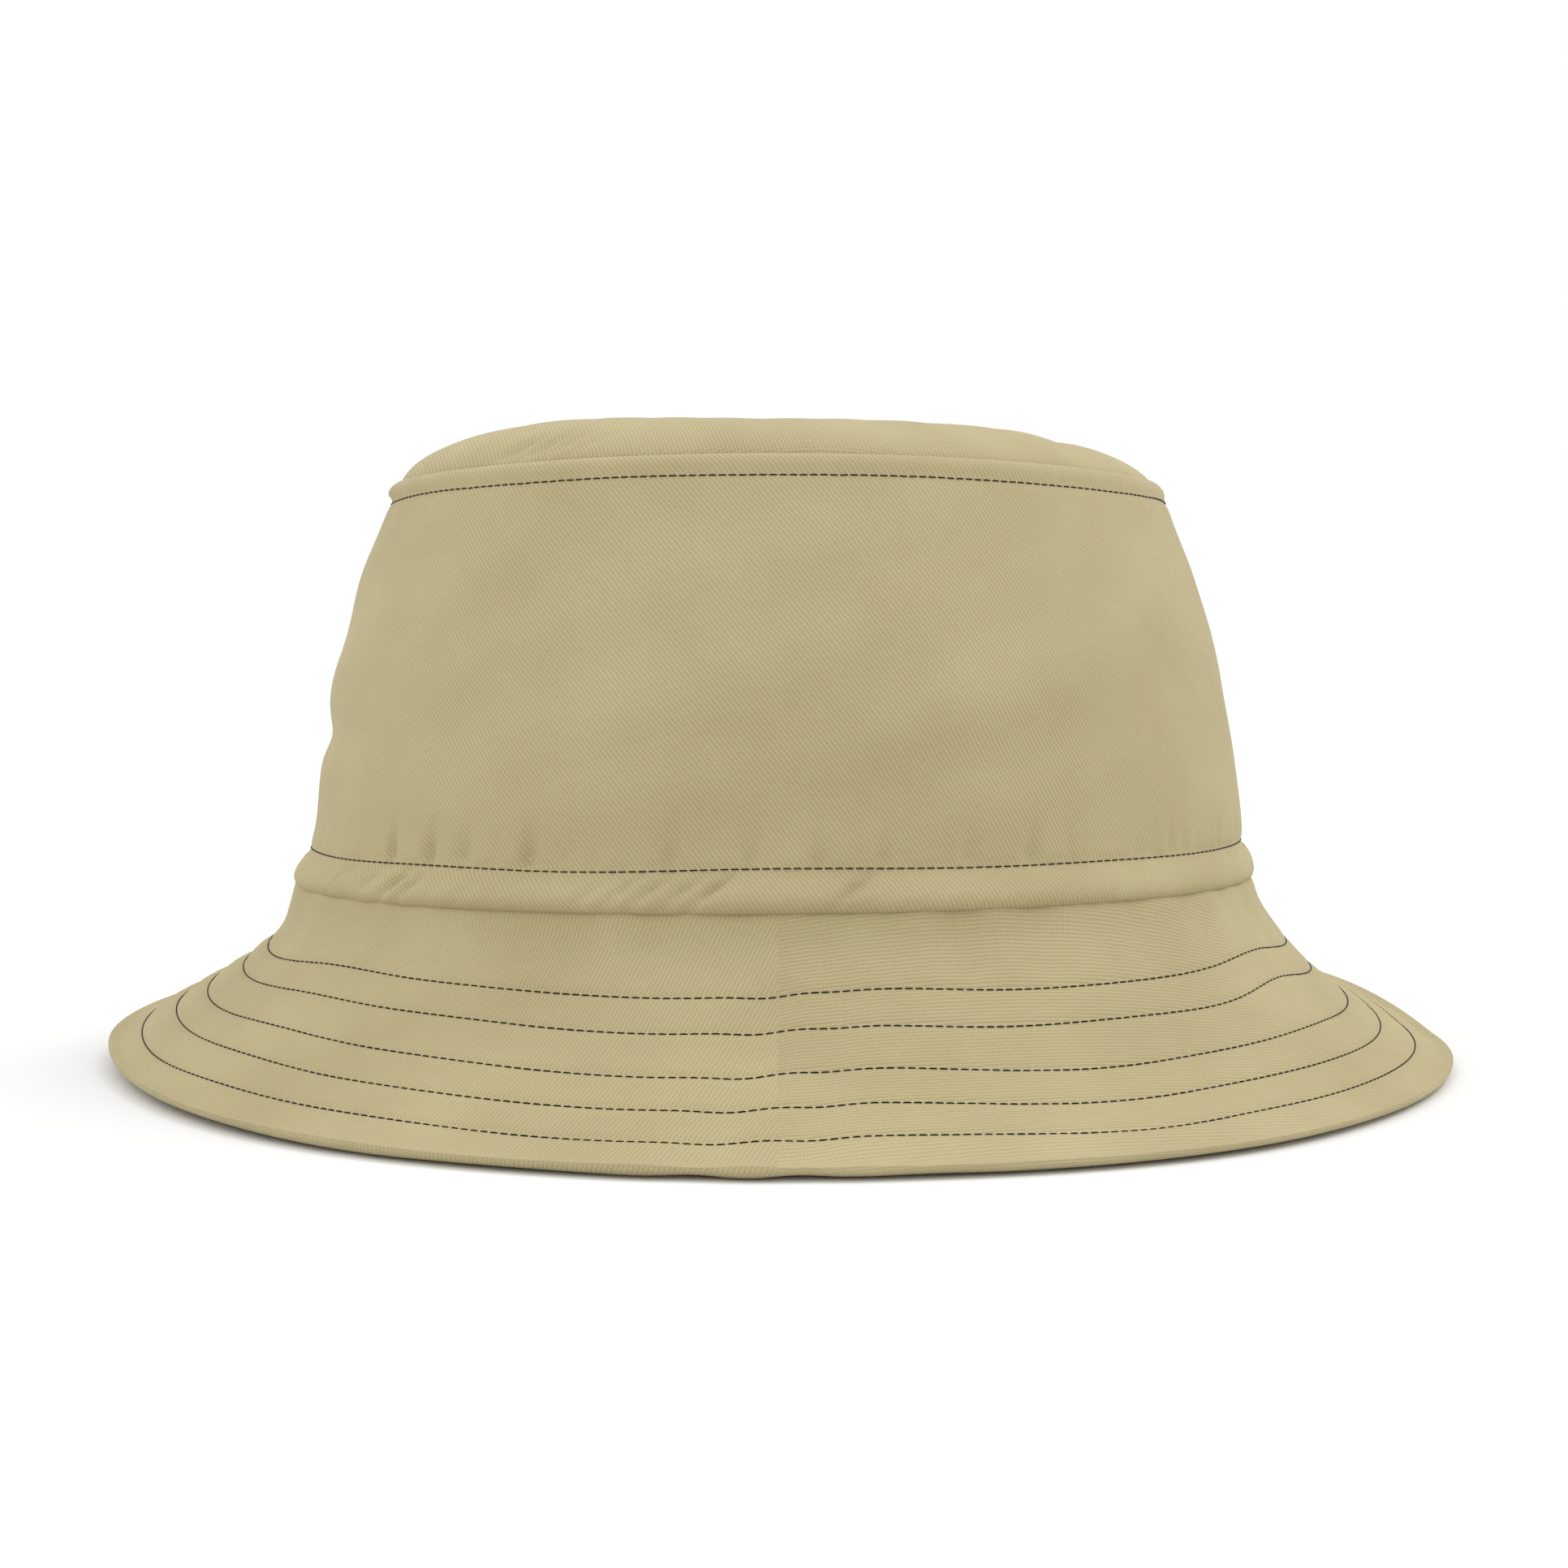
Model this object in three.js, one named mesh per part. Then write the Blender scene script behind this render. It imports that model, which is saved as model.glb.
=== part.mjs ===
// Bucket hat: a domed oval tip, a tapering crown wall and a flared two-ply brim, all topstitched.
// Millimetres, +Z up, +X towards the front. The brim's turned edge rests on the plane z = 0.
//
// Every piece follows the same oval, the outside of the crown wall at its foot. A place on the hat
// is given as (d, z): d is how far it stands outside that oval, square to it, and z its height.

import * as THREE from 'three';
import { mergeVertices } from 'three/addons/utils/BufferGeometryUtils.js';

// Driving dimensions
const HEAD_HALF_LENGTH = 102;
const HEAD_HALF_WIDTH = 86.4;
const HAT_HEIGHT = 136.5;
const DOME_RISE = 11.3;
const WALL_TAPER = 17.7;
const BRIM_REACH = 43.25;
const FOOT_STITCH = 46;
const FOOT_ROLL = 8;
const HEAD_ROLL = 5;
const CLOTH = 0.8;
const BRIM_CLOTH = 0.7;
const INTERLINING = 0.5;
const LINING = 0.5;
const SWEATBAND = 1.0;
const SWEATBAND_WIDTH = 28;
const THREAD = 0.4;
const SEAM_ALLOWANCE = 2;
const GAP = 0.3;

// Heights and offsets worked out from them
const BRIM_PLIES = 2 * BRIM_CLOTH + INTERLINING + 2 * GAP;
const BRIM_MIDDLE = BRIM_PLIES / 2;
const TOP_PLY = BRIM_MIDDLE - BRIM_CLOTH / 2;
const ROLL_BOTTOM = FOOT_STITCH - FOOT_ROLL;
const TIP_SEAM = HAT_HEIGHT - DOME_RISE;
const HEAD_STITCH = TIP_SEAM - HEAD_ROLL;
const WALL_BELLY = 87;
const HEM_TURN = 3;
const HEM_CLEARANCE = 1;
const TIP_EDGE = -WALL_TAPER - CLOTH - GAP - CLOTH / 2;
const SWEATBAND_FOOT = ROLL_BOTTOM + FOOT_ROLL / 2;
const LINING_FOOT = FOOT_STITCH + 1;
const LINING_HEAD = HEAD_STITCH - HEAD_ROLL / 2;

// The brim leaves the crown steeply and flattens towards its edge. These four places are the
// controls of that curve, along the middle of the plies.
const BRIM_CURVE = [[-0.9, 39.5], [5, 23], [24, 10.5], [35.4, 4.1]];
const BRIM_TUCK = 2;
const BRIM_EDGE_FLAT = 2;

// The five rows of stitches, as shares of the way down the brim's upper face
const BRIM_ROW_SHARES = [0.314, 0.444, 0.603, 0.745, 0.893];

// The tip is nearly flat in the middle and drops steeply at its edge: 1 minus the share of the way
// out raised to the first power, the whole raised to the second.
const DOME_FLATNESS = 4.5;
const DOME_SHOULDER = 0.8;

const ROUND_STEPS = 60;
const QUARTER = Math.PI / 2;

const group = new THREE.Group();
group.name = 'bucket_hat';

// Materials

function fabric(name, colour, roughness) {
  return new THREE.MeshStandardMaterial({ name, color: colour, roughness, metalness: 0 });
}

const khaki = fabric('khaki_twill', 0xc4b78f, 0.9);
const liningCloth = fabric('lining_cotton', 0xcfc4a4, 0.85);
const buckram = fabric('interlining', 0xe6e2d6, 0.95);
const bandTwill = fabric('sweatband_twill', 0xb3a67e, 0.85);
const darkThread = fabric('dark_thread', 0x3d3023, 0.7);

// Places round the hat

function outsideOval(d, z, angle) {
  const acrossX = HEAD_HALF_WIDTH * Math.cos(angle);
  const acrossY = HEAD_HALF_LENGTH * Math.sin(angle);
  const size = Math.hypot(acrossX, acrossY);
  return new THREE.Vector3(
    HEAD_HALF_LENGTH * Math.cos(angle) + (d * acrossX) / size,
    HEAD_HALF_WIDTH * Math.sin(angle) + (d * acrossY) / size,
    z,
  );
}

// The tip closes in to a point, so it is placed by its share of the way out to its edge.
function acrossTip(share, z, angle) {
  const edge = outsideOval(TIP_EDGE, z, angle);
  return new THREE.Vector3(edge.x * share, edge.y * share, z);
}

// Carries a closed outline round the hat. Ends that don't meet are capped.
function sweep(outline, place, from = 0, to = 2 * Math.PI) {
  const full = to - from > 2 * Math.PI - 1e-9;
  const steps = Math.max(1, Math.round((ROUND_STEPS * (to - from)) / (2 * Math.PI)));
  const columns = full ? steps : steps + 1;
  const positions = [];
  for (let i = 0; i < columns; i += 1) {
    const angle = from + ((to - from) * i) / steps;
    for (const point of outline) positions.push(...place(point.x, point.y, angle).toArray());
  }
  const rows = outline.length;
  const indices = [];
  for (let i = 0; i < steps; i += 1) {
    const here = i * rows;
    const next = ((i + 1) % columns) * rows;
    for (let j = 0; j < rows; j += 1) {
      const up = (j + 1) % rows;
      indices.push(here + j, next + j, next + up, here + j, next + up, here + up);
    }
  }
  if (!full) {
    const last = (columns - 1) * rows;
    for (const [a, b, c] of THREE.ShapeUtils.triangulateShape(outline, [])) {
      indices.push(a, b, c, last + a, last + c, last + b);
    }
  }
  const geometry = new THREE.BufferGeometry();
  geometry.setAttribute('position', new THREE.Float32BufferAttribute(positions, 3));
  geometry.setIndex(indices);
  return withoutSlivers(mergeVertices(geometry, 1e-4));
}

// Where an outline reaches the middle of the tip, its triangles shrink to nothing.
function withoutSlivers(geometry) {
  const index = geometry.getIndex().array;
  const kept = [];
  for (let i = 0; i < index.length; i += 3) {
    const [a, b, c] = [index[i], index[i + 1], index[i + 2]];
    if (a !== b && b !== c && c !== a) kept.push(a, b, c);
  }
  geometry.setIndex(kept);
  return geometry;
}

// The outline of a strip of cloth: its middle line, thickened square to the line.
function strip(line, thickness) {
  const outer = [];
  const inner = [];
  line.forEach((point, i) => {
    const before = line[Math.max(i - 1, 0)];
    const after = line[Math.min(i + 1, line.length - 1)];
    const into = i ? point.clone().sub(before).normalize() : after.clone().sub(point).normalize();
    const out = i < line.length - 1 ? after.clone().sub(point).normalize() : into;
    const along = into.clone().add(out).normalize();
    const half = thickness / 2 / along.dot(into);
    const square = new THREE.Vector2(along.y, -along.x).multiplyScalar(half);
    outer.push(point.clone().add(square));
    inner.push(point.clone().sub(square));
  });
  return [...outer, ...inner.reverse()];
}

function add(name, geometry, material) {
  geometry.computeVertexNormals();
  const mesh = new THREE.Mesh(geometry, material);
  mesh.name = name;
  group.add(mesh);
}

const at = (d, z) => new THREE.Vector2(d, z);

// Lines of the hat, each from the foot up or from the head oval outwards

const wallCurve = new THREE.QuadraticBezierCurve(
  at(0, FOOT_STITCH), at(-WALL_TAPER / 5, WALL_BELLY), at(-WALL_TAPER, HEAD_STITCH),
);

// How far the outside of the wall stands from the oval at a height between its two stitch rows.
function wallAt(z) {
  const points = wallCurve.getPoints(40);
  const above = points.findIndex((point) => point.y >= z);
  if (above < 1) return points[above < 0 ? points.length - 1 : 0].x;
  const [low, high] = [points[above - 1], points[above]];
  return low.x + ((high.x - low.x) * (z - low.y)) / (high.y - low.y);
}

// A line that follows the inside of the wall at a depth below its outer face.
function insideWall(foot, top, depth, steps) {
  const line = [];
  for (let i = 0; i <= steps; i += 1) {
    const z = foot + ((top - foot) * i) / steps;
    line.push(at(wallAt(z) - depth, z));
  }
  return line;
}

const brimSlope = new THREE.CubicBezierCurve(...BRIM_CURVE.map(([d, z]) => at(d, z)));
const brimTop = at(brimSlope.v0.x, brimSlope.v0.y + BRIM_TUCK);
const brimEnd = at(BRIM_REACH - BRIM_MIDDLE, BRIM_MIDDLE);
const brimFlare = new THREE.QuadraticBezierCurve(brimSlope.v3, at(brimEnd.x - BRIM_EDGE_FLAT, BRIM_MIDDLE), brimEnd);
const brimLine = [brimTop, ...brimSlope.getPoints(6), ...brimFlare.getPoints(2).slice(1)];

// A line beside the middle of the brim, on its upper side when the offset is positive.
function besideBrim(offset, line = brimLine) {
  return line.map((point, i) => {
    const before = line[Math.max(i - 1, 0)];
    const after = line[Math.min(i + 1, line.length - 1)];
    const along = after.clone().sub(before).normalize();
    return at(point.x - along.y * offset, point.y + along.x * offset);
  });
}

// Crown

function crownWall() {
  const half = CLOTH / 2;
  const rollOut = 2;
  const rounding = 0.25;
  const line = [
    at(rollOut - rounding, ROLL_BOTTOM + half),
    at(rollOut, ROLL_BOTTOM + FOOT_ROLL / 4),
    at(rollOut - rounding, ROLL_BOTTOM + FOOT_ROLL / 2),
    ...wallCurve.getPoints(9).map((point) => at(point.x - half, point.y)),
    at(-WALL_TAPER - half + rounding, TIP_SEAM - HEAD_ROLL / 2),
    at(-WALL_TAPER - half, TIP_SEAM - half),
  ];
  const joint = GAP / 2 / HEAD_HALF_WIDTH;
  add('crown_wall', sweep(strip(line, CLOTH), outsideOval, Math.PI + joint, 3 * Math.PI - joint), khaki);
}

// The outline of a domed panel whose edge turns down. Depth is how far it lies under the tip's face.
function domeOutline(depth, thickness, skirtFoot) {
  const face = (under) => {
    const points = [];
    const steps = 6;
    for (let i = 0; i <= steps; i += 1) {
      const share = Math.sin((QUARTER * i) / steps);
      const inset = 1 + (CLOTH / 2 - under) / HEAD_HALF_WIDTH;
      const height = DOME_RISE * (1 - share ** DOME_FLATNESS) ** DOME_SHOULDER;
      points.push(at(share * inset, TIP_SEAM + height - under));
    }
    points.push(at(points[steps].x, skirtFoot));
    return points;
  };
  return [...face(depth), ...face(depth + thickness).reverse()].reverse();
}

function crownTip() {
  add('crown_tip', sweep(domeOutline(0, CLOTH, HEAD_STITCH - CLOTH / 2), acrossTip), khaki);
}

function crownLining() {
  const depth = CLOTH + GAP + LINING / 2;
  const tipFoot = LINING_HEAD - SEAM_ALLOWANCE;
  add('crown_tip_lining', sweep(domeOutline(depth, LINING, tipFoot), acrossTip), liningCloth);
  const line = insideWall(LINING_FOOT, LINING_HEAD, depth, 5);
  add('crown_wall_lining', sweep(strip(line, LINING), outsideOval), liningCloth);
}

function sweatband() {
  const depth = CLOTH + GAP + LINING + GAP + SWEATBAND / 2;
  const top = SWEATBAND_FOOT + SWEATBAND_WIDTH;
  const line = insideWall(SWEATBAND_FOOT, top, depth, 3);
  add('sweatband', sweep(strip(line, SWEATBAND), outsideOval), bandTwill);
  threadRow('thread_sweatband', at(-depth - SWEATBAND / 2 - THREAD, SWEATBAND_FOOT + SEAM_ALLOWANCE));
}

// Brim

function brimHalf(side, from, to) {
  const joint = GAP / 2 / HEAD_HALF_WIDTH;
  const half = (outline) => sweep(outline, outsideOval, from + joint, to - joint);

  const top = besideBrim(TOP_PLY);
  const edge = [1, 2, 3].map((quarter) => at(
    brimEnd.x + TOP_PLY * Math.sin((QUARTER * quarter) / 2),
    brimEnd.y + TOP_PLY * Math.cos((QUARTER * quarter) / 2),
  ));
  const hem = [at(brimEnd.x, BRIM_CLOTH / 2), at(brimEnd.x - HEM_TURN, BRIM_CLOTH / 2)];
  add(`brim_top_${side}`, half(strip([...top, ...edge, ...hem].reverse(), BRIM_CLOTH)), khaki);

  const flat = brimLine.filter((point) => point.x < brimEnd.x - HEM_TURN - HEM_CLEARANCE);
  const under = besideBrim(-TOP_PLY, flat);
  add(`brim_under_${side}`, half(strip(under.reverse(), BRIM_CLOTH)), khaki);

  const core = brimLine.slice(2).reverse();
  add(`brim_interlining_${side}`, half(strip(core, INTERLINING)), buckram);
}

// Topstitching

function threadRow(name, centre) {
  const loop = [0, 1, 2, 3].map((corner) => at(
    centre.x + (THREAD / 2) * Math.cos(QUARTER * corner),
    centre.y + (THREAD / 2) * Math.sin(QUARTER * corner),
  ));
  add(name, sweep(loop, outsideOval), darkThread);
}

function topstitching() {
  const proud = THREAD;
  threadRow('thread_crown_top', at(-WALL_TAPER + proud, HEAD_STITCH));
  threadRow('thread_crown_base', at(proud, FOOT_STITCH));
  const above = besideBrim(BRIM_MIDDLE + proud);
  const path = new THREE.CurvePath();
  for (let i = 1; i < above.length; i += 1) path.add(new THREE.LineCurve(above[i - 1], above[i]));
  BRIM_ROW_SHARES.forEach((share, i) => threadRow(`thread_brim_${i + 1}`, path.getPoint(share)));
}

crownWall();
crownTip();
crownLining();
sweatband();
brimHalf('front', -QUARTER, QUARTER);
brimHalf('back', QUARTER, 3 * QUARTER);
topstitching();

export default group;
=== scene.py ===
"""A khaki bucket hat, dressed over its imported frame.

Lengths are in millimetres until a mesh is made. A place on the hat is (d, z): d is how far it stands
outside the oval of the crown's foot, square to it, and z its height. Angles run anticlockwise seen
from above, from the +X end of the hat.
"""

import math

import bpy
import numpy as np
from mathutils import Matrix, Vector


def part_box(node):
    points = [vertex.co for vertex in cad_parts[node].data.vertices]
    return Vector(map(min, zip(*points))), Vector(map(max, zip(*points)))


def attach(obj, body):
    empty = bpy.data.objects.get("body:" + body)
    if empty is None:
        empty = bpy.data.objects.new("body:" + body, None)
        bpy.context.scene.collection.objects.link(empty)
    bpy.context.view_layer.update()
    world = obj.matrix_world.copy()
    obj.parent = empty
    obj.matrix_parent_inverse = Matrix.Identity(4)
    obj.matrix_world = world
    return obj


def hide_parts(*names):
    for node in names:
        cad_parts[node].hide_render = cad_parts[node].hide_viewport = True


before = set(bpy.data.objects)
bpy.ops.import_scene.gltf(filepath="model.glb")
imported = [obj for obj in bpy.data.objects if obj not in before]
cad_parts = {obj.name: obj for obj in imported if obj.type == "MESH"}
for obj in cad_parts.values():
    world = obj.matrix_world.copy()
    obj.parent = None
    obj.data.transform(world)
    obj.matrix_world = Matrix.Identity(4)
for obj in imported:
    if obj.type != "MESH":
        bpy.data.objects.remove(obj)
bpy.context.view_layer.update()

MM = 0.001


def box_mm(node):
    low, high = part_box(node)
    return np.array(low) / MM, np.array(high) / MM


# Sizes read from the frame

THREAD = 0.4
ROW_PROUD = THREAD + THREAD / 2
foot_row = box_mm("thread_crown_base")
head_row = box_mm("thread_crown_top")
HALF_LENGTH = foot_row[1][0] - ROW_PROUD
HALF_WIDTH = foot_row[1][1] - ROW_PROUD
FOOT_STITCH = (foot_row[0][2] + foot_row[1][2]) / 2
HEAD_STITCH = (head_row[0][2] + head_row[1][2]) / 2
WALL_TAPER = HALF_LENGTH - (head_row[1][0] - ROW_PROUD)
ROLL_BOTTOM = box_mm("crown_wall")[0][2]
TIP_SEAM = box_mm("crown_wall")[1][2]
HAT_TOP = box_mm("crown_tip")[1][2]
BRIM_REACH = box_mm("brim_top_front")[1][0] - HALF_LENGTH
SWEATBAND_FOOT = box_mm("sweatband")[0][2]
SWEATBAND_HEAD = box_mm("sweatband")[1][2]
LINING_HEAD = box_mm("crown_wall_lining")[1][2]

# Thicknesses, and the gap between one layer and the next

CLOTH = 0.8
BRIM_CLOTH = 0.7
BRIM_HALF = 1.25
LINING = 0.4
SWEATBAND = 1.0
GAP = 0.3

# Directions round the hat in degrees, and sides of a line as it runs

FRONT_END = 0
BACK_END = 180
NEAR_SIDE = -90
FAR_SIDE = 90
LEFT, RIGHT = 1, -1


# Places round the hat

def round_oval(d, angle):
    """x and y of a place d outside the crown's oval."""
    across_x = HALF_WIDTH * np.cos(angle)
    across_y = HALF_LENGTH * np.sin(angle)
    size = np.hypot(across_x, across_y)
    return (
        HALF_LENGTH * np.cos(angle) + d * across_x / size,
        HALF_WIDTH * np.sin(angle) + d * across_y / size,
    )


def bell(value, centre, width):
    return np.exp(-(((value - centre) / width) ** 2))


def angle_from(angle, degrees):
    """Degrees from a direction, between -180 and 180."""
    return (np.degrees(angle) - degrees + 180) % 360 - 180


def towards(angle, degrees, width):
    """1 in a direction, falling away to 0 on both sides of it."""
    return bell(angle_from(angle, degrees), 0, width)


def swells(angle, places):
    """Smooth rises and dips round the hat: the direction, width and height of each, in degrees."""
    return sum(height * towards(angle, degrees, width) for degrees, width, height in places)


def step(value, start, end):
    """A smooth change from 0 at the start to 1 at the end, which may be the lower of the two."""
    share = np.clip((value - start) / (end - start), 0, 1)
    return share * share * (3 - 2 * share)


def ripple(angle, waves, seed):
    """A smooth uneven wave round the hat, about 1 high, made of a band of whole wave counts."""
    chance = np.random.default_rng(seed)
    total = np.zeros_like(angle)
    for count in waves:
        total = total + chance.normal() * np.sin(count * angle + chance.uniform(0, 2 * math.pi))
    return total / math.sqrt(len(waves) / 2)


# How the worn-in hat departs from its true oval

# How each of these sits: how high on the whole, how much higher at the front end, and how much higher
# at both ends.
HEAD_SET = (-0.25, 0, -1.2)
FOOT_SET = (0.35, 0.9, -0.7)
BRIM_SET = (-0.3, -1.1, 0.5)

# How far the brim's edge stands up on its far side, and how much more towards the front end
FAR_LIFT = 13.7
FAR_LIFT_LEAN = 4.8
# Keeps the lifted edge smooth where it dips at the middle of the far side.
FAR_ROUNDING = 0.12

# Where the brim and its edge rise or dip, and where the edge reaches further out: direction, width and
# distance
BRIM_RISES = ((-84, 9, 0.9),)
EDGE_RISES = ((-178, 16, 1.8), (40, 13, -1.2))
EDGE_REACHES = ((NEAR_SIDE, 55, 5.1), (-55, 18, 2.6), (-154, 16, -1.7))

# Heights between which the crown's settling turns into the brim's, and the edge's lift grows
BRIM_SHOULDER = 12
EDGE_LIFT_START, EDGE_LIFT_END = 24, 4
# Where the brim starts to reach out, and how far and at what height the foot has slipped
REACH_START = 36
FOOT_SLIP = 1.2
SLIP_HEIGHT = 42
UPRIGHT = 1.2


def far_side(angle):
    """0 on the near side of the hat, rising smoothly to 1 at the middle of the far side."""
    return (np.sin(angle) + np.sqrt(np.sin(angle) ** 2 + 0.01)) / 2


def seated(angle, setting):
    level, front, ends = setting
    return level + front * np.cos(angle) + ends * np.cos(2 * angle)


def lift(angle, z):
    """How far the cloth at this angle and height sits above its place on a perfect hat."""
    lean = np.cos(angle)
    head = seated(angle, HEAD_SET)
    foot = seated(angle, FOOT_SET)
    brim = seated(angle, BRIM_SET) + swells(angle, BRIM_RISES)
    far_edge = (FAR_LIFT + FAR_LIFT_LEAN * lean) * far_side(angle) * np.sqrt(lean**2 + FAR_ROUNDING)
    far_edge = far_edge + swells(angle, EDGE_RISES)
    raised = foot + (head - foot) * step(z, FOOT_STITCH, HEAD_STITCH)
    raised = raised + (brim - raised) * step(z, ROLL_BOTTOM, BRIM_SHOULDER)
    raised = raised + far_edge * step(z, EDGE_LIFT_START, EDGE_LIFT_END)
    settled = step(z, 0.5, 9)
    return np.where(raised > 0, raised, raised * settled)


def spread(angle, d, z):
    """How far the cloth stands outside its true oval. The brim's edge reaches out on the near side and
    in at the back, the crown's foot has slipped towards the back, and the edge of the tip stands a
    little more upright at the back end."""
    reach = swells(angle, EDGE_REACHES) * step(d, REACH_START, BRIM_REACH)
    slip = -FOOT_SLIP * np.cos(angle) * bell(z, SLIP_HEIGHT, 6)
    upright = UPRIGHT * towards(angle, BACK_END, 50) * step(z, HEAD_STITCH + 1, HEAD_STITCH + 3)
    return reach + slip + upright


# Smooth lines

def smooth_line(controls, spacing):
    """A curve through the control places, with points an even distance apart."""
    places = np.array(controls, float)
    ends = np.vstack([2 * places[0] - places[1], places, 2 * places[-1] - places[-2]])
    dense = []
    for before, here, there, after in zip(ends, ends[1:], ends[2:], ends[3:]):
        for t in np.linspace(0, 1, 24, endpoint=False):
            dense.append(0.5 * (
                2 * here + (there - before) * t
                + (2 * before - 5 * here + 4 * there - after) * t**2
                + (3 * here - before - 3 * there + after) * t**3
            ))
    dense.append(places[-1])
    return evenly(np.array(dense), spacing)


def evenly(line, spacing):
    """The same line with its points an even distance apart."""
    run = along(line)
    count = max(2, round(run[-1] / spacing) + 1)
    marks = np.linspace(0, run[-1], count)
    return np.stack([np.interp(marks, run, line[:, i]) for i in range(2)], axis=1)


def along(line):
    """The distance along a line to each of its points."""
    return np.concatenate([[0], np.cumsum(np.hypot(*np.diff(line, axis=0).T))])


def unit(directions):
    return directions / np.linalg.norm(directions, axis=1)[:, None]


def square_to(line, side):
    """The direction square to a line, on its left as it runs or on its right."""
    run = unit(np.gradient(line, axis=0))
    return np.stack([-run[:, 1], run[:, 0]], axis=1) * side


def bezier(controls, count):
    t = np.linspace(0, 1, count)[:, None]
    points = [np.array(control, float) for control in controls]
    while len(points) > 1:
        points = [a + (b - a) * t for a, b in zip(points, points[1:])]
    return points[0]


# Lines of the hat

WALL_BOW_HEIGHT = 87
WALL = bezier([(0, FOOT_STITCH), (-WALL_TAPER / 5, WALL_BOW_HEIGHT), (-WALL_TAPER, HEAD_STITCH)], 60)

# The roll at the wall's foot, from its tuck round to the wall: how far out, and how far above its bottom
ROLL = ((1.0, 2.4), (1.1, 0.8), (1.9, 0), (2.7, 0.7), (2.9, 2), (2.3, 4.3), (1.4, 6.2))


def wall_out(z):
    """How far the wall's outer face stands from the oval at a height."""
    return np.interp(z, WALL[:, 1], WALL[:, 0])


def wall_line(spacing):
    """The wall's outer face from its tucked foot, over the soft roll and up to the tip's seam."""
    foot = [(out, ROLL_BOTTOM + above) for out, above in ROLL]
    foot.append((0.5, FOOT_STITCH - 0.4))
    rise = [tuple(point) for point in WALL[3::7] if point[1] < HEAD_STITCH - 2]
    head = [
        (-WALL_TAPER + 0.1, HEAD_STITCH + 1.2), (-WALL_TAPER - 0.1, HEAD_STITCH + 2.6),
        (-WALL_TAPER - 0.8, TIP_SEAM - 0.9), (-WALL_TAPER - 1.9, TIP_SEAM),
        (-WALL_TAPER - 2.7, TIP_SEAM - 0.4), (-WALL_TAPER - 2.9, TIP_SEAM - 1.4),
    ]
    return smooth_line(foot + rise + head, spacing)


# The brim's middle line: its tuck behind the wall, its sweep out and its last stretch, nearly flat.
BRIM_TUCK = (-0.9, 41.5)
BRIM_BEND = (BRIM_TUCK[0], 39.5)
BRIM_KNEE = (35.4, 4.1)
BRIM_END = (BRIM_REACH - BRIM_HALF, BRIM_HALF)
BRIM_MIDDLE = np.vstack([
    [BRIM_TUCK],
    bezier([BRIM_BEND, (5, 23), (24, 10.5), BRIM_KNEE], 50),
    bezier([BRIM_KNEE, (BRIM_END[0] - 2, BRIM_HALF), BRIM_END], 14)[1:],
])
# The interlining's line starts below the tuck.
CORE_MIDDLE = BRIM_MIDDLE[2:]


def beside_brim(offset):
    """A line beside the brim's middle: above it, or below it where the offset is negative."""
    return BRIM_MIDDLE + square_to(BRIM_MIDDLE, LEFT) * offset


def brim_top_line(spacing):
    """The brim's upper face from its tuck to its edge, round the edge and back under as the hem. The
    edge is widest high up and curls under."""
    widest = 2.6
    rounding = 4.0
    centre = BRIM_REACH - rounding
    turn = np.radians(np.linspace(20, 180, 17))
    rise = np.where(np.cos(turn) > 0, 2 * BRIM_HALF - widest, widest)
    edge = np.stack([centre + rounding * np.sin(turn), widest + rise * np.cos(turn)], axis=1)
    hem = [(centre - back, 0) for back in (1, 2, 3)]
    face = beside_brim(BRIM_HALF)
    face = face[face[:, 0] < centre]
    return evenly(np.vstack([face, edge, hem]), spacing)


# Meshes

def make_mesh(name, places, faces):
    """A smooth mesh, sharp along its open edges."""
    mesh = bpy.data.meshes.new(name)
    mesh.from_pydata((np.asarray(places) * MM).tolist(), [], faces)
    mesh.validate()
    mesh.update()
    mesh.polygons.foreach_set("use_smooth", [True] * len(mesh.polygons))
    faces_at_edge = np.bincount([loop.edge_index for loop in mesh.loops], minlength=len(mesh.edges))
    mesh.edges.foreach_set("use_edge_sharp", faces_at_edge == 1)
    piece = bpy.data.objects.new(name, mesh)
    bpy.context.scene.collection.objects.link(piece)
    return piece


def dress(piece, slot, *nodes):
    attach(piece, "root")
    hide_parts(*nodes)


def grid_faces(columns, rows, closed):
    faces = []
    for i in range(columns if closed else columns - 1):
        here = i * rows
        there = ((i + 1) % columns) * rows
        for j in range(rows - 1):
            faces.append((here + j, there + j, there + j + 1, here + j + 1))
    return faces


def cloth_coordinates(piece, weave):
    """Each point's place on the flat cloth, in millimetres, for the weave to follow."""
    layer = piece.data.attributes.new("cloth", "FLOAT_VECTOR", "POINT")
    flat = np.zeros((len(piece.data.vertices), 3), np.float32)
    flat[:, :2] = weave
    layer.data.foreach_set("vector", flat.ravel())


# The wall and each brim half are cut as fans: the fan's arc, the radius of its edge at the crown's foot,
# and whether it gets wider from there or narrower.
FOOT_ROUND = 2 * math.pi * math.sqrt((HALF_LENGTH**2 + HALF_WIDTH**2) / 2)
WALL_ARC = 2 * math.pi * WALL_TAPER / (HEAD_STITCH - FOOT_STITCH)
WALL_FAN = (WALL_ARC, FOOT_ROUND / WALL_ARC, -1)
BRIM_ARC = math.radians(90)
BRIM_FAN = (BRIM_ARC, FOOT_ROUND / 2 / BRIM_ARC, 1)

# The wall and its layers go once round, from their seam at the back end.
WALL_START, WALL_STOP = math.pi, 3 * math.pi


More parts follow.
